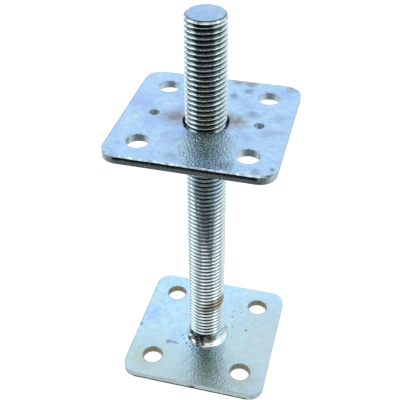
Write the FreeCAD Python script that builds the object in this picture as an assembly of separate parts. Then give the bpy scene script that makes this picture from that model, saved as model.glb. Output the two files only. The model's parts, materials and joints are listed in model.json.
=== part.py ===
import FreeCAD, Part
import os
from math import cos, pi, radians, tan

# Adjustable post base, in millimetres, +Z up.
# The origin is the middle of the base plate's underside.
# A threaded rod is welded upright on a base plate. A second plate, which carries the post,
# has a nut welded under it and is screwed up or down the rod.

# Plates, sheared from one strip
plate_side = 80.0
plate_thickness = 4.0
plate_corner_radius = 7.5
edge_roll = 0.4

# Holes in the plates
hole_edge_distance = 14.5
bolt_hole_diameter = 11.0
nail_hole_diameter = 5.0
rod_hole_clearance = 1.0

# Threaded rod, at the thread's outside diameter
rod_diameter = 20.0
rod_length = 200.0
rod_end_chamfer = 1.1

# Hexagon nut under the upper plate
nut_across_flats = 30.0
nut_height = 16.0
nut_face_relief = 0.75
nut_chamfer_angle = 30.0
nut_bore_chamfer = 0.8
thread_clearance = 0.05

# Height at which the upper plate is set, from plate to plate
setting_height = 143.0

# Weld beads
base_weld_height = 6.0
base_weld_reach = 3.5
base_weld_crown = 0.3
tack_radius = 4.0
tack_length = 14.0
tack_taper = 3.0
tack_end_radius = 1.5

up = FreeCAD.Vector(0, 0, 1)
rod_radius = rod_diameter / 2
upper_plate_bottom = plate_thickness + setting_height
nut_bottom = upper_plate_bottom - nut_height
hole_offset = plate_side / 2 - hole_edge_distance


def upright_cylinder(radius, bottom, height, x=0.0, y=0.0):
    """A round bar standing at x, y."""
    return Part.makeCylinder(radius, height, FreeCAD.Vector(x, y, bottom), up)


def turned(profile):
    """The solid that a closed outline in the XZ plane gives when it is turned about Z."""
    return Part.Face(Part.Wire(profile)).revolve(FreeCAD.Vector(0, 0, 0), up, 360)


def lines_through(points):
    """Straight edges through (radius, z) points, in order."""
    corners = [FreeCAD.Vector(radius, 0, z) for radius, z in points]
    return [Part.makeLine(start, end) for start, end in zip(corners, corners[1:])]


def plate(bottom, holes):
    """A square plate with round corners and holes, its upper rims broken by the shear and the punch.

    holes is a list of (x, y, diameter).
    """
    half = plate_side / 2
    blank = Part.makeBox(plate_side, plate_side, plate_thickness, FreeCAD.Vector(-half, -half, bottom))
    corners = [edge for edge in blank.Edges if edge.BoundBox.ZLength > plate_thickness / 2]
    blank = blank.makeFillet(plate_corner_radius, corners)
    for x, y, diameter in holes:
        blank = blank.cut(upright_cylinder(diameter / 2, bottom, plate_thickness, x, y))
    middle = bottom + plate_thickness / 2
    rims = [edge for edge in blank.Edges if edge.BoundBox.ZMin > middle]
    return blank.makeChamfer(edge_roll, rims)


def bolt_holes():
    """Four holes in a square, at one distance from the plate's edges."""
    signs = (-1, 1)
    return [(i * hole_offset, j * hole_offset, bolt_hole_diameter) for i in signs for j in signs]


def base_plate():
    """The lower plate, which is anchored to the concrete."""
    return plate(0.0, bolt_holes())


def top_plate():
    """The upper plate: bolt holes, two nail holes on its midline, and a clear hole for the rod."""
    nail_holes = [(side * hole_offset, 0.0, nail_hole_diameter) for side in (-1, 1)]
    rod_hole = (0.0, 0.0, rod_diameter + 2 * rod_hole_clearance)
    return plate(upper_plate_bottom, bolt_holes() + nail_holes + [rod_hole])


def threaded_rod():
    """The rod, standing on the base plate, with its free end chamfered."""
    rod = upright_cylinder(rod_radius, plate_thickness, rod_length)
    top = plate_thickness + rod_length
    end = [edge for edge in rod.Edges if edge.BoundBox.ZMin > top - rod_end_chamfer]
    return rod.makeChamfer(rod_end_chamfer, end)


def base_weld():
    """The fillet bead round the foot of the rod, a little crowned."""
    foot = FreeCAD.Vector(rod_radius + base_weld_reach, 0, plate_thickness)
    head = FreeCAD.Vector(rod_radius, 0, plate_thickness + base_weld_height)
    root = FreeCAD.Vector(rod_radius, 0, plate_thickness)
    outward = FreeCAD.Vector(base_weld_height, 0, base_weld_reach).normalize()
    crown = (foot + head) * 0.5 + outward * base_weld_crown
    bead_face = Part.Arc(foot, crown, head).toShape()
    return turned([bead_face, Part.makeLine(head, root), Part.makeLine(root, foot)])


def adjusting_nut():
    """The hexagon nut, flats towards the nail holes, with both faces chamfered."""
    corner_radius = nut_across_flats / 2 / cos(pi / 6)
    first_corner = FreeCAD.Vector(0, corner_radius, nut_bottom)
    turns = [FreeCAD.Rotation(up, 60 * step) for step in range(7)]
    outline = Part.makePolygon([turn.multVec(first_corner) for turn in turns])
    hexagon = Part.Face(outline).extrude(up * nut_height)

    face_radius = nut_across_flats / 2 - nut_face_relief
    slope_height = (corner_radius - face_radius) * tan(radians(nut_chamfer_angle))
    barrel = turned(lines_through([
        (0, nut_bottom),
        (face_radius, nut_bottom),
        (corner_radius, nut_bottom + slope_height),
        (corner_radius, upper_plate_bottom - slope_height),
        (face_radius, upper_plate_bottom),
        (0, upper_plate_bottom),
        (0, nut_bottom),
    ]))

    bore_radius = rod_radius + thread_clearance
    mouth_radius = bore_radius + nut_bore_chamfer
    bore = turned(lines_through([
        (0, nut_bottom),
        (mouth_radius, nut_bottom),
        (bore_radius, nut_bottom + nut_bore_chamfer),
        (bore_radius, upper_plate_bottom - nut_bore_chamfer),
        (mouth_radius, upper_plate_bottom),
        (0, upper_plate_bottom),
        (0, nut_bottom),
    ]))
    return hexagon.common(barrel).cut(bore)


def nut_welds(nut):
    """Two short beads with tapered ends, between the plate and two opposite flats of the nut."""
    bar_length = tack_length - 2 * tack_taper
    along = FreeCAD.Vector(0, 1, 0)
    room = Part.makeBox(plate_side, plate_side, nut_height,
                        FreeCAD.Vector(-plate_side / 2, -plate_side / 2, nut_bottom))
    beads = []
    for side in (-1, 1):
        start = FreeCAD.Vector(side * nut_across_flats / 2, -bar_length / 2, upper_plate_bottom)
        end = start + along * bar_length
        bar = Part.makeCylinder(tack_radius, bar_length, start, along)
        for tip, direction in ((start, -along), (end, along)):
            bar = bar.fuse(Part.makeCone(tack_radius, tack_end_radius, tack_taper, tip, direction))
        outside = bar.removeSplitter().common(room).cut(nut)
        beads.extend(bead for bead in outside.Solids if abs(bead.CenterOfMass.x) > nut_across_flats / 2)
    return Part.makeCompound(beads)


os.makedirs("parts", exist_ok=True)
nut = adjusting_nut()
pieces = {
    "base_plate": base_plate(),
    "threaded_rod": threaded_rod(),
    "base_weld": base_weld(),
    "top_plate": top_plate(),
    "adjusting_nut": nut,
    "nut_welds": nut_welds(nut),
}
for name, shape in pieces.items():
    shape.exportStep(f"parts/{name}.step")
    print(name, len(shape.Solids), "solids", round(shape.Volume, 2), "mm3", "valid" if shape.isValid() else "INVALID")
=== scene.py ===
import json
from math import atan2, copysign, cos, hypot, pi, radians, sin, tan, tau

import bmesh
import bpy
from mathutils import Matrix, Vector, noise


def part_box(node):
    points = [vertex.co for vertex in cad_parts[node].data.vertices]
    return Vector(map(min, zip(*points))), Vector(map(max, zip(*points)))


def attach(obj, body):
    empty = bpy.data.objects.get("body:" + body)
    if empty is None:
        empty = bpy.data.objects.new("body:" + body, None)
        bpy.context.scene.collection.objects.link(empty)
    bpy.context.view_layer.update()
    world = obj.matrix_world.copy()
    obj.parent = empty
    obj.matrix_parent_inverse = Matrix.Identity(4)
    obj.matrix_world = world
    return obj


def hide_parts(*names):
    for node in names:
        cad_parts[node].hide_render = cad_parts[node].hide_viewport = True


# Adjustable post base in zinc-plated steel, in metres, +Z up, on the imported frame.

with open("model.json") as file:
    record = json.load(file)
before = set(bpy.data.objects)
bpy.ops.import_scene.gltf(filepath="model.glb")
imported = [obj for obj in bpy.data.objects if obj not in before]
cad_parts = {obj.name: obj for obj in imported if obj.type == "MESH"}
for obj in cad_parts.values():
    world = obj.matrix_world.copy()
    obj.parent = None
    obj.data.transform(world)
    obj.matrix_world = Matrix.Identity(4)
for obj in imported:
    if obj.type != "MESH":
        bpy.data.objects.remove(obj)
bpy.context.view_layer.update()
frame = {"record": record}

MM = 0.001
TOLERANCE = 0.01 * MM
ORIGIN = (0, 0, 0)
UP = (0, 0, 1)

# Sizes that the frame gives
base_low, base_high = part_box("base_plate")
post_low, post_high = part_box("top_plate")
rod_low, rod_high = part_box("threaded_rod")
nut_low, nut_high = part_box("adjusting_nut")
base_top = base_high.z
post_top = post_high.z
plate_half = base_high.x
plate_thickness = base_top - base_low.z
rod_radius = rod_high.x
nut_flat = nut_high.x
mount_sizes = {mount["name"]: mount["dims"] for mount in frame["record"]["mounts"]}
hole_offset = mount_sizes["post_holes"]["spacing_x_mm"] * MM / 2
bolt_hole_radius = mount_sizes["post_holes"]["hole_r_mm"] * MM
nail_hole_radius = mount_sizes["nail_holes"]["hole_r_mm"] * MM

# The side from which the photo was taken, and the right-hand side as seen from there
front = Vector((0.2493, -0.9684, 0.0))
right = Vector((-front.y, front.x, 0.0))

# Sizes of the plates that only the looks need
corner_radius = 7.5 * MM
corner_centre = plate_half - corner_radius
corner_inset = 0.2 * MM
facet_width = 0.55 * MM
lip_width = 0.9 * MM
burr_width = 0.5 * MM
rim_break = 0.08 * MM
hole_margin = 0.05 * MM

# The rod's hole leaves the wider gap on the photo's side
rod_hole_radius = rod_radius + 1.15 * MM
rod_hole_centre = front * 0.9 * MM

# M20 rolled thread, pitch 2.5 mm
thread_pitch = 2.5 * MM
thread_crest = rod_radius - 0.05 * MM
thread_root = rod_radius - 1.35 * MM
end_chamfer = 1.1 * MM
end_break = 0.15 * MM

# Hexagon nut, and the two tacks that hold it
bore_clearance = 0.05 * MM
bore_chamfer = 0.8 * MM
nut_face_relief = 0.75 * MM
nut_chamfer_angle = radians(30)
tack_reach = 3.8 * MM
tack_half_length = 6.8 * MM


def mm(*values):
    """A vector given in millimetres."""
    return Vector(values) * MM


def smoothstep(low, high, value):
    """0 below low, 1 above high, and a smooth rise between them."""
    share = min(max((value - low) / (high - low), 0.0), 1.0)
    return share * share * (3 - 2 * share)


def lumps_at(place, size):
    """How lumpy a surface is at a place, from about -1 to 1, with lumps of this size in millimetres."""
    return noise.noise(place / (size * MM))


# Materials


def linear(colour):
    """A linear colour from an sRGB hex value such as "#A8C4DE"."""
    parts = [int(colour[place:place + 2], 16) / 255 for place in (1, 3, 5)]
    return [part / 12.92 if part <= 0.04045 else ((part + 0.055) / 1.055) ** 2.4 for part in parts] + [1.0]


def plug(material, node, inputs):
    """Sets a node's inputs: links those that are another node's output, and stores the others."""
    for socket, value in inputs.items():
        if isinstance(value, bpy.types.NodeSocket):
            material.node_tree.links.new(value, node.inputs[socket])
        else:
            node.inputs[socket].default_value = value


def add(material, kind, inputs, output=0, stops=(), **settings):
    """Adds a node with its settings, inputs and colour stops, and returns one of its outputs."""
    node = material.node_tree.nodes.new(kind)
    for setting, value in settings.items():
        setattr(node, setting, value)
    plug(material, node, inputs)
    for index, (place, colour) in enumerate(stops):
        element = node.color_ramp.elements[index] if index < 2 else node.color_ramp.elements.new(place)
        element.position = place
        element.color = linear(colour)
    return node.outputs[output]


def pattern(material, place, size, detail, output=0, **inputs):
    """Noise with blotches of about this size in millimetres."""
    inputs.update({"Vector": place, "Scale": 1 / (size * MM), "Detail": detail})
    return add(material, "ShaderNodeTexNoise", inputs, output)


def ranged(material, value, source=(0, 1), target=(0, 1), curve="LINEAR"):
    """Carries a value from its source range to a target range, and holds it at the ends."""
    ends = {"From Min": source[0], "From Max": source[1], "To Min": target[0], "To Max": target[1]}
    return add(material, "ShaderNodeMapRange", {"Value": value, **ends}, interpolation_type=curve)


def arithmetic(material, operation, *numbers):
    """A sum or product of numbers."""
    return add(material, "ShaderNodeMath", dict(enumerate(numbers)), operation=operation)


def vector(material, operation, *values, output="Vector"):
    """A sum, product or measure of vectors."""
    return add(material, "ShaderNodeVectorMath", dict(enumerate(values)), output, operation=operation)


def ramp(material, value, stops):
    """The colours that a value runs through, as places and colours in rising order."""
    return add(material, "ShaderNodeValToRGB", {"Fac": value}, stops=stops)


def mixed(material, share, under, over):
    """Lays one colour over another by a share."""
    return add(material, "ShaderNodeMix", {0: share, 6: under, 7: over}, 2, data_type="RGBA")


def shaded(material, colour, shade):
    """A colour made darker by a shade under 1, or lighter by one above it."""
    return add(material, "ShaderNodeVectorMath", {0: colour, "Scale": shade}, operation="SCALE")


def bumped(material, height, strength, depth):
    """A surface that rises and falls with a pattern."""
    return add(material, "ShaderNodeBump", {"Height": height, "Strength": strength, "Distance": depth})


def start(name):
    """A new material, its shader and its Object coordinates."""
    material = bpy.data.materials.new(name)
    material.use_nodes = True
    shader = material.node_tree.nodes["Principled BSDF"]
    return material, shader, add(material, "ShaderNodeTexCoord", {}, "Object")


def stained(material, place, colour, stains):
    """Lays ragged, patchy stains over a colour. Each stain is its centre, radius, colour and strength."""
    raggedness = mm(4, 4, 4)
    drift = pattern(material, place, 6, 1.5, "Color")
    place = vector(material, "MULTIPLY_ADD", drift, raggedness, place)
    place = vector(material, "SUBTRACT", place, raggedness / 2)
    patches = pattern(material, place, 4, 4.0)
    patches = ranged(material, patches, (0.3, 0.62), (0.45, 1.0))
    for centre, radius, stain_colour, strength in stains:
        distance = vector(material, "DISTANCE", place, centre, output="Value")
        share = ranged(material, distance, (radius, radius * 0.15), (0, strength), "SMOOTHSTEP")
        share = arithmetic(material, "MULTIPLY", share, patches)
        colour = mixed(material, share, colour, linear(stain_colour))
    return colour


def zinc_sheet(name, cloud_colours, stains, sparkle, grain_depth, shaded_rim_sides=()):
    """Zinc-plated cold-rolled sheet with a blue passivate.

    A soft mirror: cloudy sky-blue and lavender patches, a fine grain that makes reflections sparkle,
    brown or grey stains where it was welded and handled, and painted shade along the rims of some sides,
    broken into specks.
    sparkle is the strength of the pale specks, and grain_depth the depth of the grain.
    """
    material, shader, place = start(name)
    clouds = pattern(material, place, 12, 2.0, Distortion=0.4)
    mottle = pattern(material, place, 3.5, 3.0)
    # The real grain and specks are about 0.1 mm wide, and are drawn coarser so that they show
    grain = pattern(material, place, 1.2, 2.0)
    specks = pattern(material, place, 0.8, 0.0)
    specks = ranged(material, specks, (0.52, 0.68), (0, sparkle))

    colour = ramp(material, clouds, cloud_colours)
    colour = shaded(material, colour, ranged(material, mottle, (0.3, 0.7), (0.91, 1.07)))
    colour = stained(material, place, colour, stains)
    pale = ranged(material, specks, target=(0, 0.22))
    colour = mixed(material, pale, colour, linear("#D2E2EC"))
    # Painted shade: a dark line along the rims of the given sides, broken up by the grain
    for side in shaded_rim_sides:
        reach = vector(material, "DOT_PRODUCT", place, side, output="Value")
        rim = ranged(material, reach, (plate_half - 1.0 * MM, plate_half - 0.3 * MM), (0, 0.6))
        rim_shade_specks = ranged(material, grain, (0.3, 0.65))
        colour = mixed(material, arithmetic(material, "MULTIPLY", rim, rim_shade_specks), colour, linear("#5B6770"))

    roughness = ranged(material, specks, target=(0.24, 0.5))
    bump = bumped(material, grain, 1.0, grain_depth)
    plug(material, shader, {"Base Color": colour, "Roughness": roughness, "Normal": bump, "Metallic": 1.0})
    return material


def sheared_edge(name, border, fracture_side, burnish, torn_shade_colour, stains):
    """Sheared steel under thin zinc.

    A burnished band with upright drag marks, and a torn band where the sheet broke, painted darker than
    dull steel as shade: above the border where fracture_side is 1, and below it where that is -1.
    """
    material, shader, place = start(name)
    # The real drag marks are about 0.2 mm wide, and are drawn coarser so that they show
    upright = vector(material, "MULTIPLY", place, (1, 1, 0.06))
    drag = pattern(material, upright, 0.8, 4.0)
    torn = pattern(material, place, 1.6, 5.0, Roughness=0.65)
    burnished = ramp(material, drag, [(0.32, burnish[0]), (0.70, burnish[1])])
    # Painted shade: the torn band runs from near-black up to torn_shade_colour
    torn_and_shaded = ramp(material, torn, [(0.35, "#171C1D"), (0.75, torn_shade_colour)])

    # The tear carries the border up and down by half of this
    border_play = 1.6 * MM
    border_blur = fracture_side * 0.5 * MM
    height = add(material, "ShaderNodeSeparateXYZ", {0: place}, "Z")
    level = arithmetic(material, "MULTIPLY_ADD", torn, border_play, height)
    border += border_play / 2
    share = ranged(material, level, (border - border_blur, border + border_blur), curve="SMOOTHSTEP")
    colour = stained(material, place, mixed(material, share, burnished, torn_and_shaded), stains)
    roughness = ranged(material, share, target=(0.42, 0.7))
    bump = bumped(material, drag, 0.5, 0.15 * MM)
    plug(material, shader, {"Base Color": colour, "Roughness": roughness, "Normal": bump, "Metallic": 0.85})
    return material


def burnished_lip():
    """The rolled-over rim along a sheared side.

    Zinc rubbed smooth, so it mirrors the light as a broken bright line.
    """
    material, shader, place = start("burnished_lip")
    rubbed = pattern(material, place, 2.5, 3.0)
    colour = ramp(material, rubbed, [(0.35, "#94A7B6"), (0.65, "#B2C3CF")])
    roughness = ranged(material, rubbed, (0.35, 0.65), (0.3, 0.14))
    plug(material, shader, {"Base Color": colour, "Roughness": roughness, "Metallic": 1.0})
    return material


def scored_wall(name, dark, pale):
    """A wall that the punch or the slitter left: dull metal with upright scores."""
    material, shader, place = start(name)
    # The real scores are about 0.2 mm wide, and are drawn coarser so that they show
    upright = vector(material, "MULTIPLY", place, (1, 1, 0.08))
    scores = pattern(material, upright, 0.7, 3.0)
    colour = ramp(material, scores, [(0.35, dark), (0.7, pale)])
    bump = bumped(material, scores, 0.2, 0.1 * MM)
    plug(material, shader, {"Base Color": colour, "Roughness": 0.45, "Normal": bump, "Metallic": 0.8})
    return material


def rolled_thread(rust):
    """Zinc-plated rolled thread.

    Bright worn crests and grey-green flanks, with painted shade darkening the grooves and more painted
    shade on the front, and one rust bloom low on the rod, which the worn crests shed.
    """
    material, shader, place = start("zinc_plated_rolled_thread")
    flat = vector(material, "MULTIPLY", place, (1, 1, 0))
    radius = vector(material, "LENGTH", flat, output="Value")
    rise = ranged(material, radius, (thread_root, thread_crest))
    # Painted shade: the thread is darker on the front and lighter behind
    facing = vector(material, "DOT_PRODUCT", place, front, output="Value")
    front_shade = ranged(material, facing, (rod_radius * 0.3, rod_radius * 0.9), (-0.08, 0.1))
    wear = pattern(material, place, 3, 4.0)

    # Painted shade: the ramp darkens the thread towards its root, so the grooves are near-black
    colour = ramp(material, arithmetic(material, "SUBTRACT", rise, front_shade), [
        (0.0, "#2D3735"), (0.3, "#697674"), (0.56, "#B8C9C9"), (0.85, "#DAE8E9"), (1.0, "#E9F5F8")])
    colour = shaded(material, colour, ranged(material, wear, (0.3, 0.7), (0.82, 1.04)))
    rusted = stained(material, place, colour, rust)
    worn_crest = ranged(material, rise, (0.35, 0.9), (0, 0.4))
    colour = mixed(material, worn_crest, rusted, colour)
    bump = bumped(material, wear, 0.1, 0.1 * MM)
    plug(material, shader, {"Base Color": colour, "Roughness": 0.14, "Normal": bump, "Metallic": 1.0})
    return material


def arc_weld():
    """An arc weld under zinc: bright, rounded metal, black and pitted where slag stuck to it, and black as
    painted shade where the mesh marks a crease.
    """
    material, shader, place = start("zinc_plated_arc_weld")
    slag_and_shade = add(material, "ShaderNodeAttribute", {}, "Fac", attribute_name="slag_and_shade")
    pits = pattern(material, place, 2.6, 1.5)
    char = pattern(material, place, 1.4, 3.0)
    # The slag attribute also carries painted shade in the crease where the foot bead meets the rod
    crust_and_shade = arithmetic(material, "ADD", slag_and_shade, pits)
    crust_and_shade = ranged(material, crust_and_shade, (0.85, 1.1), curve="SMOOTHSTEP")
    bright = ramp(material, pits, [(0.25, "#B8C8CC"), (0.55, "#F0F6F8")])
    char_and_shade = ramp(material, char, [(0.42, "#1A1F20"), (0.64, "#A0A39B")])
    colour = mixed(material, crust_and_shade, bright, char_and_shade)
    roughness = ranged(material, crust_and_shade, target=(0.3, 0.45))
    bump = bumped(material, pits, 0.1, 0.2 * MM)
    plug(material, shader, {"Base Color": colour, "Roughness": roughness, "Normal": bump, "Metallic": 1.0})
    return material


def forged_nut():
    """Zinc-plated hot-forged nut: the plating's pale blue over a slightly scaly skin."""
    material, shader, place = start("zinc_plated_forged_nut")
    scale = pattern(material, place, 2.2, 5.0)
    colour = ramp(material, scale, [(0.3, "#8FA3B2"), (0.5, "#ABC2D2"), (0.7, "#C4D8E4")])
    bump = bumped(material, scale, 0.2, 0.2 * MM)
    plug(material, shader, {"Base Color": colour, "Roughness": 0.32, "Normal": bump, "Metallic": 1.0})
    return material


def stains_on(face_height, rows):
    """Stains on a plate's upper face, from rows of x, y and radius in millimetres, colour and strength."""
    return [(Vector((x * MM, y * MM, face_height)), radius * MM, colour, strength)
            for x, y, radius, colour, strength in rows]


heat_brown, handled_grey, dirt_brown = "#7E6F72", "#7484A2", "#858384"
post_stains = stains_on(post_top, [
    # The heat of the two tacks below, left and right of the rod
    (-14.0, -2.0, 11.0, heat_brown, 0.85),
    (12.8, 0.5, 10.0, heat_brown, 1.0),
    # Marks of dirt and handling towards the far and right-hand sides
    (8.0, 37.4, 4.5, dirt_brown, 1.0),
    (14.4, 36.9, 4.5, dirt_brown, 1.0),
    (15.0, 30.0, 3.6, handled_grey, 1.0),
    (8.4, 23.9, 3.4, handled_grey, 1.0),
    (21.1, 8.9, 5.0, handled_grey, 0.9),
    (33.3, 8.2, 5.0, heat_brown, 0.4),
    (31.9, -5.4, 7.0, dirt_brown, 0.4),
    # Brown marks by the near side and the corners
    (-7.9, -33.4, 5.0, heat_brown, 0.5),
    (17.0, -34.6, 5.0, heat_brown, 0.6),
    (31.0, -35.7, 3.5, heat_brown, 0.5),
    (37.5, -32.5, 2.0, handled_grey, 0.9),
    (35.1, 37.0, 5.0, heat_brown, 0.45),
    # Painted reflection: a greenish patch in front of the rod, pale in its middle, that lightens and tints
    # the rod's reflection there
    (5.5, -22.0, 20.0, "#B4C8BE", 0.85),
    (4.5, -19.0, 11.0, "#F0FAF8", 1.0),
])
base_stains = stains_on(base_top, [
    # A thin grey-green film over the right-hand and near sides, and over the near corners; the patch in front
    # of the bead is painted reflection, tinting the rod's reflection there
    (40.0, 0.0, 55.0, "#C6D3D0", 1.0),
    (10.0, -55.0, 52.0, "#BEC5BF", 1.0),
    (6.0, -25.0, 13.0, "#B2C4AE", 0.75),
    (-25.0, -30.0, 34.0, "#C6D4CC", 0.9),
    (-28.0, -28.0, 13.0, "#C2C6AE", 0.7),
    (28.0, -28.0, 13.0, "#BDBCAA", 0.7),
    # A lavender patch by the left-hand side
    (-35.6, 4.7, 9.0, "#A4BAEE", 0.6),
    # A scratch left of the bead, and a dark spot on the left-hand rim
    (-20.0, -14.3, 1.9, "#64798C", 0.9),
    (-18.2, -13.6, 1.7, "#64798C", 0.8),
    (-16.2, -12.9, 1.9, "#5E7080", 0.9),
    (-39.0, -4.7, 1.6, "#4A545C", 0.9),
])
rust_bloom = [
    (mm(7.1, -7.1, 33.6), 6.5 * MM, "#3A2E14", 2.0),
    (mm(9.4, -3.0, 35.0), 6.0 * MM, "#66522A", 1.8),
    (mm(2.5, -9.7, 31.2), 5.5 * MM, "#524824", 1.3),
]
# Painted shade: a dark spot on the lower plate's near side, where a small notch that the mesh lacks would lie
# in shade
notch_shade_spot = (mm(1.7, -40, 1.6), 2.2 * MM, "#20262A", 1.0)

upper_clouds = [(0.30, "#AAC2E6"), (0.42, "#B4CEEC"), (0.50, "#B6D7EC"), (0.60, "#B8D0ED"), (0.70, "#C3DFE9")]
lower_clouds = [(0.30, "#BCD8F2"), (0.42, "#C0E3F5"), (0.50, "#C3E6EE"), (0.60, "#C5E0EE"), (0.70, "#CBE8EA")]
end_clouds = [(0.30, "#A2BCDA"), (0.70, "#ACC6DE")]
left_side, far_side = (-1, 0, 0), (0, 1, 0)
post_sheet = zinc_sheet("zinc_plated_sheet_upper", upper_clouds, post_stains, sparkle=0.8,
                        grain_depth=0.28 * MM, shaded_rim_sides=[left_side, far_side])
base_sheet = zinc_sheet("zinc_plated_sheet_lower", lower_clouds, base_stains, sparkle=0.4,
                        grain_depth=0.16 * MM, shaded_rim_sides=[left_side])
# The upper plate's dark upper band is partly its dull fracture and partly painted shade
post_edge = sheared_edge("sheared_edge_upper", post_low.z + 0.48 * plate_thickness, fracture_side=1,
                         burnish=("#9AA8AE", "#C4D1D6"), torn_shade_colour="#394244", stains=[])
# The lower plate's dark band at the foot of its cut sides is painted shadow where it stands on the floor
base_edge = sheared_edge("sheared_edge_lower", base_low.z + 0.22 * plate_thickness, fracture_side=-1,
                         burnish=("#A3AEB0", "#BEC8C8"), torn_shade_colour="#3E4749", stains=[notch_shade_spot])
cropped_corner = scored_wall("cropped_corner", "#8C999E", "#C2CDD1")
post_lip = burnished_lip()
post_wall = scored_wall("punched_wall_upper", "#BACCD6", "#CDDDE5")
base_wall = scored_wall("punched_wall_lower", "#746E5A", "#948F7A")
thread_zinc = rolled_thread(rust_bloom)
weld_bead = arc_weld()
nut_zinc = forged_nut()
rod_end = zinc_sheet("zinc_plated_rod_end", end_clouds, [], sparkle=0.3, grain_depth=0.1 * MM)

# Places of a plate's materials: its broad faces, the sides that were cut from the strip, the walls of its
# holes, its corners with the strip's own sides, and the sloping rim
SHEET, CUT_SIDE, HOLE_WALL, SLIT_SIDE, LIP = range(5)


# Pieces


def make_piece(bm, name, body, node, materials, sharp=35):
    """Turns a bmesh into a piece that stands for a CAD node and rides on its body."""
    bmesh.ops.recalc_face_normals(bm, faces=bm.faces[:])
    mesh = bpy.data.meshes.new(name)
    bm.to_mesh(mesh)
    bm.free()
    for material in materials:
        mesh.materials.append(material)
    mesh.shade_smooth()
    mesh.set_sharp_from_angle(angle=radians(sharp))
    piece = bpy.data.objects.new(name, mesh)
    bpy.context.scene.collection.objects.link(piece)
    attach(piece, body)
    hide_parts(node)


def everything(bm):
    """All the geometry of a bmesh, as an operator takes it."""
    return bm.verts[:] + bm.edges[:] + bm.faces[:]


def with_edges(faces):
    """Faces with their edges and corners, as an operator takes them."""
    edges = dict.fromkeys(edge for face in faces for edge in face.edges)
    corners = dict.fromkeys(vert for face in faces for vert in face.verts)
    return faces + list(edges) + list(corners)


def draw(bm, corners, closed):
    """Joins corners, each a radius and a height, by edges that are ready to be spun about the rod's axis."""
    points = [bm.verts.new((radius, 0, height)) for radius, height in corners]
    next_points = points[1:] + points[:1] if closed else points[1:]
    for point, next_point in zip(points, next_points):
        bm.edges.new((point, next_point))


def turned_ring(corners, steps):
    """A ring turned about the rod's axis from a closed outline."""
    bm = bmesh.new()
    draw(bm, corners, closed=True)
    bmesh.ops.spin(bm, geom=bm.verts[:] + bm.edges[:], cent=ORIGIN, axis=UP, angle=tau, steps=steps,
                   use_merge=True)
    return bm


def bolt_holes():
    """The four holes near a plate's corners."""
    signs = (-1, 1)
    return [(i * hole_offset, j * hole_offset, bolt_hole_radius) for i in signs for j in signs]


def near_hole(place, holes, margin):
    """Whether a place is inside one of the holes, or within a margin of its wall."""
    return any(hypot(place.x - x, place.y - y) < radius + margin for x, y, radius in holes)


def cut_share(place):
    """1 along the two sides cut from the strip, 0 along its own slit sides, and between them in a corner."""
    return smoothstep(-corner_radius, corner_radius, abs(place.y) - abs(place.x))


def rolled_in(place):
    """1 on the photo's side of the rod hole's rim, less towards its sides, and 0 at every other hole."""
    from_centre = (place - rod_hole_centre).xy
    if from_centre.length > rod_hole_radius + hole_margin:
        return 0.0
    return smoothstep(0.3, 0.9, from_centre.normalized().dot(front.xy))


def plate_outline(bm):
    """A plate's outline: long sides in short steps, and round corners.

    The corners were cropped by another tool, a little inside the line of the sides.
    """
    bmesh.ops.create_grid(bm, x_segments=1, y_segments=1, size=plate_half)
    bmesh.ops.bevel(bm, geom=bm.verts[:], offset=corner_radius, segments=12, profile=0.5,
                    affect="VERTICES", material=-1)
    sides = [edge for edge in bm.edges if edge.calc_length() > corner_radius]
    bmesh.ops.subdivide_edges(bm, edges=sides, cuts=110)
    bmesh.ops.delete(bm, geom=bm.faces[:], context="FACES_ONLY")
    for vert in bm.verts:
        if min(abs(vert.co.x), abs(vert.co.y)) > corner_centre + TOLERANCE:
            centre = Vector((copysign(corner_centre, vert.co.x), copysign(corner_centre, vert.co.y), 0))
            vert.co = centre + (vert.co - centre) * (1 - corner_inset / corner_radius)


def plate_blank(low, holes):
    """A plate with punched holes, its walls divided at a few levels so that they can be torn."""
    wall_levels = (0.12, 0.3, 0.46, 0.58, 0.7, 0.8)
    bm = bmesh.new()
    plate_outline(bm)
    for x, y, radius in holes:
        bmesh.ops.create_circle(bm, segments=56, radius=radius, matrix=Matrix.Translation((x, y, 0)))
    bmesh.ops.triangle_fill(bm, use_beauty=True, edges=bm.edges[:])
    bmesh.ops.translate(bm, verts=bm.verts[:], vec=(0, 0, low.z))
    raised = bmesh.ops.extrude_face_region(bm, geom=bm.faces[:])["geom"]
    raised = [item for item in raised if isinstance(item, bmesh.types.BMVert)]
    bmesh.ops.translate(bm, verts=raised, vec=(0, 0, plate_thickness))
    bmesh.ops.recalc_face_normals(bm, faces=bm.faces[:])
    for share in wall_levels:
        level = (0, 0, low.z + share * plate_thickness)
        bmesh.ops.bisect_plane(bm, geom=everything(bm), plane_co=level, plane_no=UP)
    return bm


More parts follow.
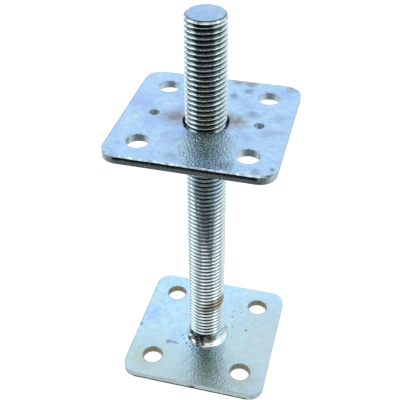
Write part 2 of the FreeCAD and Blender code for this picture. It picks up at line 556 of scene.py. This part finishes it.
def sheared_plate(node, holes, rim_width, facet_drop, burr, hole_dish, rod_dish=0.0):
    """A plate as the shear and the punch left it.

    Its rim falls by facet_drop along the cut sides, and by less along the slit ones. Inside that, the cut
    sides stand up as a burr. Each hole's rim is dished, and the rod hole's by rod_dish more in front.
    """
    slit_drop_share = 0.3
    wall_slope, rim_slope = 0.3, 0.95
    low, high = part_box(node)
    bm = plate_blank(low, holes)

    # Narrow bands along every rim: the facet, the burr, and one that keeps the broad face's shading flat
    top = [face for face in bm.faces if face.normal.z > rim_slope]
    for width in (rim_width, burr_width, burr_width):
        bmesh.ops.inset_region(bm, faces=top, thickness=width, use_boundary=True, use_even_offset=True)
    bm.normal_update()
    flat_inside = {vert for face in top for vert in face.verts}
    upper = [vert for vert in bm.verts if vert.co.z > high.z - TOLERANCE and vert not in flat_inside]
    rim = [vert for vert in upper if any(abs(face.normal.z) < wall_slope for face in vert.link_faces)]
    crest = {edge.other_vert(vert) for vert in rim for edge in vert.link_edges} & set(upper) - set(rim)
    for vert in rim:
        if near_hole(vert.co, holes, hole_margin):
            vert.co.z -= hole_dish + rod_dish * rolled_in(vert.co)
        else:
            vert.co.z -= facet_drop * (slit_drop_share + (1 - slit_drop_share) * cut_share(vert.co))
    for vert in crest:
        if not near_hole(vert.co, holes, 2 * rim_width):
            uneven = 1 + 0.6 * lumps_at(vert.co, 3) + 0.5 * lumps_at(vert.co, 1.1)
            vert.co.z += burr * uneven * cut_share(vert.co)
    bm.normal_update()

    # The rims of the underside are only just broken
    below = [edge for edge in bm.edges if edge.verts[0].co.z < low.z + TOLERANCE]
    below = [edge for edge in below if len(edge.link_faces) == 2]
    breaks = [edge for edge in below if sum(abs(face.normal.z) > wall_slope for face in edge.link_faces) == 1]
    bmesh.ops.bevel(bm, geom=breaks, offset=rim_break, segments=2, profile=0.5, affect="EDGES", material=-1)
    bm.normal_update()

    for face in bm.faces:
        middle = face.calc_center_median()
        if abs(face.normal.z) >= wall_slope:
            face.material_index = LIP if 0 < face.normal.z < rim_slope else SHEET
        elif near_hole(middle, holes, rim_width):
            face.material_index = HOLE_WALL
        elif abs(middle.x) < corner_centre:
            face.material_index = CUT_SIDE
        else:
            face.material_index = SLIT_SIDE
    return bm


def tear_walls(bm, low, lean, tear_from, tear_to):
    """Leans the cut sides in between two shares of the thickness, and scores all four sides."""
    score_depth = 0.025 * MM
    for vert in bm.verts:
        walls = [face for face in vert.link_faces if face.material_index in (CUT_SIDE, SLIT_SIDE)]
        inward = -sum((face.normal for face in walls), Vector())
        inward.z = 0
        if inward.length < 1e-6:
            continue
        share = (vert.co.z - low.z) / plate_thickness
        torn = smoothstep(tear_from, tear_from + 0.15, share)
        torn *= 1 - smoothstep(tear_to - 0.12, tear_to, share)
        rough = 0.75 + 0.3 * lumps_at(vert.co, 1.1) + 0.3 * lumps_at(vert.co, 4)
        score = abs(lumps_at(Vector((vert.co.x, vert.co.y, 0)), 0.9)) * score_depth
        vert.co += inward.normalized() * (lean * torn * cut_share(vert.co) * rough + score)


def lower_plate():
    """The plate that stands on the concrete."""
    bm = sheared_plate("base_plate", bolt_holes(), facet_width, facet_drop=0.06 * MM, burr=0.0,
                       hole_dish=0.2 * MM)
    tear_walls(bm, base_low, lean=0.12 * MM, tear_from=0.05, tear_to=0.45)
    # Only its holes have a sloping rim, which is as dull as the corners
    make_piece(bm, "lower_plate", "base", "base_plate",
               [base_sheet, base_edge, base_wall, cropped_corner, cropped_corner])


def upper_plate():
    """The plate that carries the post, with nail holes and a clear hole for the rod."""
    holes = bolt_holes() + [(side * hole_offset, 0.0, nail_hole_radius) for side in (-1, 1)]
    holes.append((rod_hole_centre.x, rod_hole_centre.y, rod_hole_radius))
    bm = sheared_plate("top_plate", holes, lip_width, facet_drop=0.5 * MM, burr=0.15 * MM,
                       hole_dish=0.2 * MM, rod_dish=0.7 * MM)
    tear_walls(bm, post_low, lean=0.25 * MM, tear_from=0.45, tear_to=1.0)
    make_piece(bm, "upper_plate", "post_plate", "top_plate",
               [post_sheet, post_edge, post_wall, cropped_corner, post_lip])


def nick_at(place):
    """How nicked the steel is at a place, above zero for a nick."""
    return lumps_at(place, 1.3) + 0.6 * lumps_at(place, 3.5)


def wound_thread():
    """A thread that is a little longer than the rod: one turn, doubled until it is long enough."""
    steps_per_turn = 60
    turns = round((rod_high.z - rod_low.z) / thread_pitch) + 2
    # Half of the groove, as a share of the pitch and the height above the root in millimetres
    half_groove = [(0.0, 0.0), (0.05, 0.03), (0.1, 0.11), (0.25, 0.65), (0.39, 1.15), (0.42, 1.25),
                   (0.45, 1.3)]
    groove = half_groove + [(1 - share, height) for share, height in reversed(half_groove)]
    below_foot = rod_low.z - 1.5 * thread_pitch

    bm = bmesh.new()
    draw(bm, [(thread_root + height * MM, below_foot + share * thread_pitch) for share, height in groove],
         closed=False)
    bmesh.ops.spin(bm, geom=bm.verts[:] + bm.edges[:], cent=ORIGIN, axis=UP,
                   dvec=(0, 0, thread_pitch / steps_per_turn), angle=tau, steps=steps_per_turn)
    wound = 1
    while wound < turns:
        copy = bmesh.ops.duplicate(bm, geom=everything(bm))["geom"]
        copy = [item for item in copy if isinstance(item, bmesh.types.BMVert)]
        bmesh.ops.translate(bm, verts=copy, vec=(0, 0, wound * thread_pitch))
        wound *= 2
    bmesh.ops.remove_doubles(bm, verts=bm.verts[:], dist=TOLERANCE)
    return bm


def worn_radius(place):
    """How far out a point of the rod is left by nicks on the crests and the chamfer and chips at its end."""
    crest_band = 0.06 * MM
    chip_depth = 0.45 * MM
    much_nicked = rod_high.z - 20 * MM
    radius = hypot(place.x, place.y)
    facing = place.xy.dot(front.xy) / radius
    worn = radius
    if radius > thread_crest - crest_band:
        nick_depth = (0.015 + 0.085 * smoothstep(post_top, much_nicked, place.z)) * MM
        worn -= max(nick_at(place), 0.0) * nick_depth

    # The chamfer closed the thread's mouth on the photo's side and left it ragged behind
    depth = rod_high.z - place.z
    cone = rod_radius - end_chamfer + depth
    if depth < end_chamfer + 0.05 * MM and worn < cone:
        worn += (cone - worn) * smoothstep(-0.4, 0.2, facing + 0.5 * nick_at(place))
    chipped = max(lumps_at(place, 0.8), 0.0) * chip_depth
    chipped *= (1 - smoothstep(0.2 * MM, 0.6 * MM, depth)) * (1 - smoothstep(0.0, 0.6, facing))
    broken_rim = cone - end_break + 1.6 * depth
    return min(worn, cone, broken_rim) - chipped


def threaded_rod():
    """The rod: a length of thread, cut square at the foot and chamfered at the top."""
    bm = wound_thread()
    bmesh.ops.bisect_plane(bm, geom=everything(bm), plane_co=rod_low, plane_no=UP, clear_inner=True)
    bmesh.ops.bisect_plane(bm, geom=everything(bm), plane_co=rod_high, plane_no=UP, clear_outer=True)

    # Cuts across the end, in millimetres below it, give the chamfer and its chips enough points
    for depth in (0.1, 0.2, 0.35, 0.55, 0.8, 1.1, 1.4, 1.7):
        near_end = [face for face in bm.faces if face.calc_center_median().z > rod_high.z - 4 * MM]
        bmesh.ops.bisect_plane(bm, geom=with_edges(near_end), plane_co=rod_high - mm(0, 0, depth),
                               plane_no=UP)
    for vert in bm.verts:
        vert.co.xy *= worn_radius(vert.co) / hypot(vert.co.x, vert.co.y)

    for end in bmesh.ops.holes_fill(bm, edges=[edge for edge in bm.edges if edge.is_boundary])["faces"]:
        end.material_index = 1
    make_piece(bm, "rolled_thread_rod", "base", "threaded_rod", [thread_zinc, rod_end], sharp=50)


def bead_reach(angle):
    """How far the foot bead spreads over the plate, by the angle from the photo's side."""
    all_round = 1.95 + 0.35 * sin(angle)
    in_front = 2.3 * max(cos(angle - 0.12), 0) ** 1.5
    behind = 0.8 * max(-cos(angle), 0)
    return (all_round + in_front + behind) * MM


def bead_height(angle):
    """How far the foot bead climbs up the rod, by the angle from the photo's side."""
    return (5.6 + 0.5 * cos(angle) + 0.35 * sin(3 * angle)) * MM


def foot_weld():
    """The fillet bead round the rod's foot: one run of overlapping puddles, with spatter about it."""
    # Across the bead, as shares of its reach and height, drawn as if both were 1 mm
    section = [(1.0, -0.02), (1.0, 0.03), (0.985, 0.065), (0.95, 0.1), (0.88, 0.14), (0.75, 0.195),
               (0.6, 0.255), (0.45, 0.32), (0.32, 0.39), (0.22, 0.48), (0.14, 0.61), (0.08, 0.74),
               (0.03, 0.88), (0.0, 1.0), (-0.5, 1.0), (-0.5, -0.02)]
    bm = turned_ring([(rod_radius + reach * MM, base_top + rise * MM) for reach, rise in section], steps=240)
    slag_and_shade = bm.verts.layers.float.new("slag_and_shade")

    front_angle = atan2(front.y, front.x)
    for vert in bm.verts:
        radius = hypot(vert.co.x, vert.co.y)
        angle = atan2(vert.co.y, vert.co.x) - front_angle
        reach = (radius - rod_radius) / MM
        rise = (vert.co.z - base_top) / MM
        slag_side = smoothstep(0.7, 0.95, cos(angle + 0.65))
        on_rod = Vector((cos(angle), sin(angle), rise)) * 10
        lumps = noise.noise(on_rod / 2.6) * (0.03 + 0.55 * slag_side) * MM
        ripples = 0.08 * MM * sin(angle * 30 + 2.5 * rise) * smoothstep(0.5, 1.0, sin(angle))
        uneven = lumps + ripples if reach > 0 else 0
        vert.co.xy *= (rod_radius + reach * (bead_reach(angle) + uneven)) / radius
        vert.co.z = base_top + rise * (bead_height(angle) + lumps * 0.8)

        # Slag covers the bead's left side; in front, up where the bead meets the rod, painted shade darkens
        # the crease
        crust_left = slag_side * (0.6 + 0.4 * smoothstep(0.1, 0.4, rise))
        in_front = smoothstep(-1.8, -1.4, angle) * (1 - smoothstep(0.05, 0.6, angle))
        crease_shade = 0.66 * smoothstep(0.38, 0.52, rise) * in_front
        vert[slag_and_shade] = max(crust_left, crease_shade) * (0.85 + 0.8 * noise.noise(on_rod / 2.2))

    # Spatter on the plate: x, y and radius in millimetres
    drops = [(12.3, 14.0, 0.45), (22.5, 5.6, 0.55), (-14.0, -13.9, 0.4), (-12.9, -7.2, 0.45),
             (12.3, 18.6, 0.3), (17.1, 19.0, 0.3), (-4.6, -16.4, 0.45), (-17.7, -6.0, 0.3),
             (14.2, 6.5, 0.35), (-9.0, -12.5, 0.5), (-11.3, -9.8, 0.4), (-6.8, -14.6, 0.35),
             (15.6, -1.8, 0.3)]
    flattened = Matrix.Diagonal((1, 1, 0.7, 1))
    for x, y, radius in drops:
        place = Matrix.Translation((x * MM, y * MM, base_top)) @ flattened
        for vert in bmesh.ops.create_icosphere(bm, subdivisions=2, radius=radius * MM, matrix=place)["verts"]:
            vert[slag_and_shade] = 0.8
    make_piece(bm, "foot_weld", "base", "base_weld", [weld_bead], sharp=60)


def hex_nut():
    """The nut under the upper plate: a turned ring pushed out to six flats, both faces chamfered."""
    bore_radius = rod_radius + bore_clearance
    mouth_radius = bore_radius + bore_chamfer
    face_radius = nut_flat - nut_face_relief
    corner_reach = nut_flat / cos(pi / 6)
    low, high = nut_low.z, nut_high.z
    bm = turned_ring([
        (bore_radius, low + bore_chamfer),
        (mouth_radius, low),
        (face_radius, low),
        (corner_reach, low + MM),
        (corner_reach, high - MM),
        (face_radius, high),
        (mouth_radius, high),
        (bore_radius, high - bore_chamfer),
    ], steps=120)
    for vert in bm.verts:
        radius = hypot(vert.co.x, vert.co.y)
        if radius > face_radius + 0.1 * MM:
            from_flat = (atan2(vert.co.y, vert.co.x) + pi / 6) % (pi / 3) - pi / 6
            new_radius = nut_flat / cos(from_flat)
            slope = (new_radius - face_radius) * tan(nut_chamfer_angle)
            vert.co.xy *= new_radius / radius
            vert.co.z = low + slope if vert.co.z < (low + high) / 2 else high - slope
    make_piece(bm, "hex_nut", "post_plate", "adjusting_nut", [nut_zinc], sharp=25)


def nut_tacks():
    """Two short beads between the nut's flats and the plate, each of a few overlapping puddles."""
    puddle_length = 2.3 * MM
    bm = bmesh.new()
    slag_and_shade = bm.verts.layers.float.new("slag_and_shade")
    bead_size = Matrix.Diagonal((tack_reach, tack_half_length, tack_reach, 1))
    for side in (-1, 1):
        root = Vector((side * nut_flat, 0, nut_high.z))
        place = Matrix.Translation(root) @ bead_size
        bead = bmesh.ops.create_uvsphere(bm, u_segments=48, v_segments=40, radius=1.0, matrix=place)
        for vert in bead["verts"]:
            from_axis = Vector((vert.co.x - root.x, 0, vert.co.z - root.z))
            puddle = 0.06 * sin(vert.co.y * tau / puddle_length + 1.5 * abs(from_axis.z) / MM)
            puddle += 0.08 * lumps_at(vert.co, 1.8)
            vert.co += from_axis * (puddle - 0.1)
            vert[slag_and_shade] = 0.25 * (1 + lumps_at(vert.co, 2.5))

    # The plate and the nut's flats cut the beads
    bmesh.ops.bisect_plane(bm, geom=everything(bm), plane_co=nut_high, plane_no=UP, clear_outer=True)
    for side in (-1, 1):
        bead = [face for face in bm.faces if face.calc_center_median().x * side > 0]
        bmesh.ops.bisect_plane(bm, geom=with_edges(bead), plane_co=(side * nut_flat, 0, 0),
                               plane_no=(-side, 0, 0), clear_outer=True)
    bmesh.ops.holes_fill(bm, edges=[edge for edge in bm.edges if edge.is_boundary])
    make_piece(bm, "nut_tacks", "post_plate", "nut_welds", [weld_bead], sharp=60)


threaded_rod()
lower_plate()
upper_plate()
foot_weld()
hex_nut()
nut_tacks()


# Stage: a pale floor, soft light from the sides and from above the camera, and the photo's camera


def studio(forward, sideways, height):
    """A place round the part, in metres towards the camera, to the right as it sees the part, and up."""
    return front * forward + right * sideways + Vector((0, 0, height))


def lay_sheet(bm, name, material_name, inputs):
    """Lays a flat dull sheet of paper or card on the ground."""
    mesh = bpy.data.meshes.new(name)
    bm.to_mesh(mesh)
    bm.free()
    sheet = bpy.data.objects.new(name, mesh)
    bpy.context.scene.collection.objects.link(sheet)
    material = bpy.data.materials.new(material_name)
    material.use_nodes = True
    shader = material.node_tree.nodes["Principled BSDF"]
    plug(material, shader, {"Roughness": 0.9, "Specular IOR Level": 0.1, **inputs})
    mesh.materials.append(material)
    return sheet


def panel(name, centre, target, size, colour, brightness):
    """A soft rectangular light that faces a point, as bright as white paper at brightness 1."""
    width, height = size
    light = bpy.data.lights.new(name, "AREA")
    light.shape = "RECTANGLE"
    light.size = width
    light.size_y = height
    light.color = linear(colour)[:3]
    light.energy = brightness * pi * width * height
    lamp = bpy.data.objects.new(name, light)
    lamp.location = centre
    lamp.rotation_euler = (target - centre).to_track_quat("-Z", "Y").to_euler()
    bpy.context.scene.collection.objects.link(lamp)


floor_bm = bmesh.new()
bmesh.ops.create_grid(floor_bm, x_segments=1, y_segments=1, size=8.0)
floor = lay_sheet(floor_bm, "floor", "white_paper_floor", {
    "Base Color": linear("#A6A7A8"), "Emission Color": linear("#FFFFFF"), "Emission Strength": 0.85})

# The backdrop is only seen, and the panels alone light the steel
world = bpy.data.worlds.new("studio")
world.use_nodes = True
backdrop = world.node_tree.nodes["Background"]
backdrop.inputs["Color"].default_value = linear("#F4F5F6")
backdrop.inputs["Strength"].default_value = 1.0
bpy.context.scene.world = world
world.cycles_visibility.glossy = False
world.cycles_visibility.diffuse = False

# Each light's place, the place it faces, its width and height, colour and brightness
white, cool_white, sky_white = "#FFFFFF", "#F4FAFF", "#E8F3FF"
part_middle = studio(0, 0, 0.1)
panel("back_panel", studio(-1.2, 0, 1.77), studio(0, 0, 1.77), (2.4, 3.4), sky_white, 1.15)
panel("top_softbox", studio(0.554, 0, 1.164), part_middle, (2.4, 0.27), white, 1.58)
panel("right_softbox", studio(0.25, 0.65, 1.12), part_middle, (0.6, 0.4), white, 1.0)
panel("left_softbox", studio(0.42, -0.5, 1.17), part_middle, (0.5, 0.28), white, 0.5)
panel("left_front_panel", studio(0.4, -1.2, 1.12), studio(0.4, 0, 1.12), (0.4, 2.2), cool_white, 1.0)
panel("left_panel", studio(-0.145, -1.2, 1.12), studio(-0.145, 0, 1.12), (0.69, 2.2), cool_white, 1.65)
panel("left_back_panel", studio(-0.96, -1.2, 1.12), studio(-0.96, 0, 1.12), (0.94, 2.2), cool_white, 0.75)
panel("right_panel", studio(0, 1.2, 0.72), part_middle, (2.2, 1.4), cool_white, 1.05)
panel("front_fill", studio(1.3, 0, 0.55), part_middle, (2.4, 0.7), white, 0.25)

# A black card on the floor by the camera, which only reflections see, keeps the steel's front dark
card_near, card_far = 0.084, 1.7
card_from, card_to = radians(-75), radians(42)
card_bm = bmesh.new()
first_side = Matrix.Rotation(card_from, 3, "Z") @ front
card_edge = [card_bm.verts.new(first_side * reach + Vector((0, 0, MM))) for reach in (card_near, card_far)]
card_bm.edges.new(card_edge)
bmesh.ops.spin(card_bm, geom=card_bm.verts[:] + card_bm.edges[:], cent=ORIGIN, axis=UP,
               angle=card_to - card_from, steps=24)
card = lay_sheet(card_bm, "black_card", "black_card_board", {"Base Color": linear("#101214")})
card.visible_camera = False
card.visible_diffuse = False
card.visible_shadow = False

# The camera, fitted to the plates, the holes and the rod in the photo
camera_data = bpy.data.cameras.new("photo_camera")
camera_data.sensor_width = 36.0
camera_data.lens = 66.49
camera_data.clip_start = 0.01
camera = bpy.data.objects.new("photo_camera", camera_data)
camera.location = mm(74.07, -287.68, 335.79)
camera.rotation_euler = (radians(51.828), radians(0.447), radians(14.709))
bpy.context.scene.collection.objects.link(camera)
bpy.context.scene.camera = camera
bpy.context.scene.view_settings.view_transform = "Standard"
